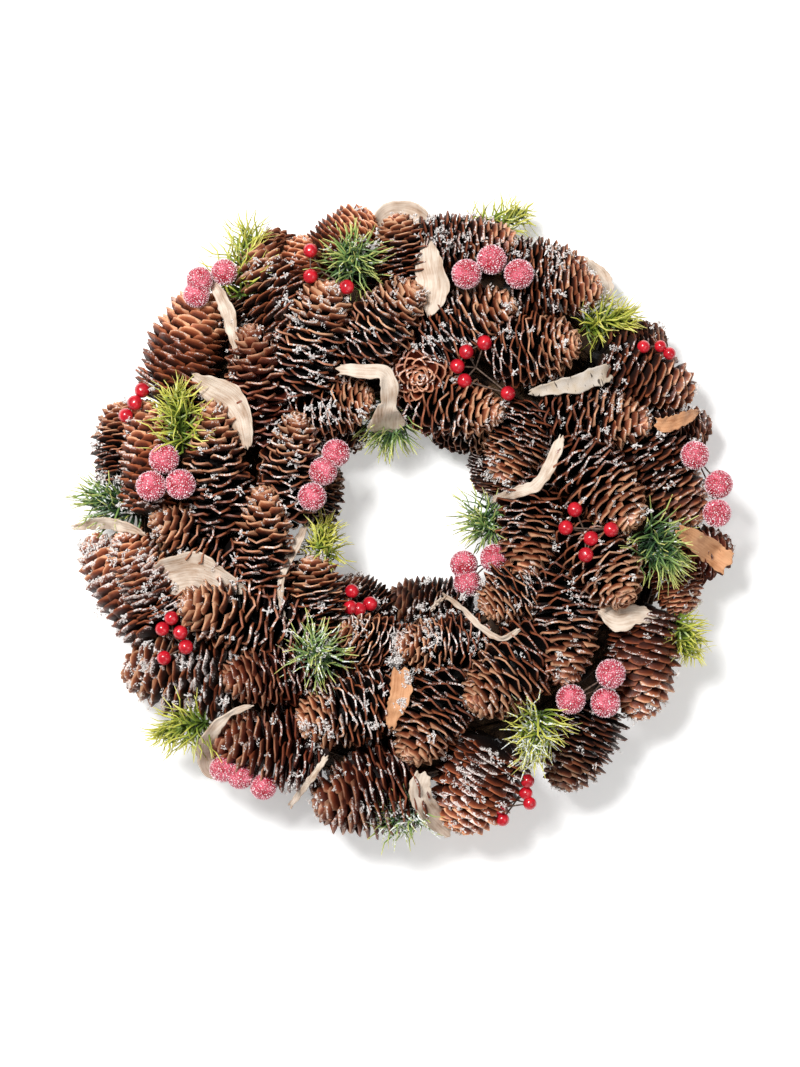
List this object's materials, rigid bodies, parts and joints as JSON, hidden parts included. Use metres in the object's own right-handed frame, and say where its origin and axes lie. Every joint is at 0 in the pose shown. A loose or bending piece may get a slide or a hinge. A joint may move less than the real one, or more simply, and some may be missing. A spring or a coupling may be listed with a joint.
{
  "type": "pine cone and berry wreath",
  "caption": "Round door wreath of snow-flecked pine cones on a twig ring, with frosted and glossy red berry picks, plastic needle sprigs and curls of birch bark.",
  "frame": {"origin": "middle of the wreath's overall outline, on the plane its flat back lies on", "axes": "+Z out of the front of the wreath, +Y towards its top when it hangs, +X to the right seen from the front"},
  "size_m": [0.3678, 0.3626, 0.0883],
  "materials": {
    "twig": "rough twigs and straw",
    "cone": "woody scales flecked with white artificial snow",
    "pale_bark": "dry birch bark, cream inside",
    "tan_bark": "dry birch bark, tan inside",
    "frosted_berry": "pink-red under white sugar grains",
    "red_berry": "glossy",
    "green_needle": "deep green, flecked with snow",
    "yellow_needle": "yellow-green"
  },
  "bodies": {
    "root": {"base_ring": "twig", "cones_1": "cone", "cones_2": "cone", "cones_3": "cone", "cones_4": "cone", "cones_5": "cone", "cones_6": "cone", "cones_7": "cone", "cones_8": "cone", "cones_9": "cone", "cones_10": "cone", "cones_11": "cone", "cones_12": "cone", "bark_10": "pale_bark", "bark_collar": "pale_bark", "bark_arch": "pale_bark", "bark_leaf": "pale_bark", "bark_bracket": "pale_bark", "bark_2": "pale_bark", "bark_tan_2": "tan_bark", "bark_tan_3": "tan_bark", "bark_4": "pale_bark", "bark_tan_6": "tan_bark", "bark_6": "pale_bark", "bark_curl": "pale_bark", "bark_wedge": "pale_bark", "bark_9": "pale_bark", "bark_hole_9": "pale_bark", "bark_hole_2": "pale_bark", "frosted_berries_10": "frosted_berry", "frosted_berries_1": "frosted_berry", "frosted_berries_3": "frosted_berry", "frosted_berries_4": "frosted_berry", "frosted_berries_7": "frosted_berry", "frosted_berries_9": "frosted_berry", "frosted_berries_hole_9": "frosted_berry", "frosted_berries_hole_4": "frosted_berry", "red_berries_10": "red_berry", "red_berries_11": "red_berry", "red_berries_1": "red_berry", "red_berries_2": "red_berry", "red_berries_3": "red_berry", "red_berries_5": "red_berry", "red_berries_8": "red_berry", "red_berries_7": "red_berry", "sprig_11": "yellow_needle", "sprig_10": "yellow_needle", "sprig_12": "green_needle", "sprig_1": "yellow_needle", "sprig_2": "yellow_needle", "sprig_3": "green_needle", "sprig_4": "yellow_needle", "sprig_5": "yellow_needle", "sprig_8": "yellow_needle", "sprig_9": "green_needle", "sprig_hole_9": "yellow_needle", "sprig_7": "green_needle", "sprig_hole_3": "green_needle", "sprig_hole_12": "green_needle", "sprig_6": "green_needle"}
  },
  "joints": []
}
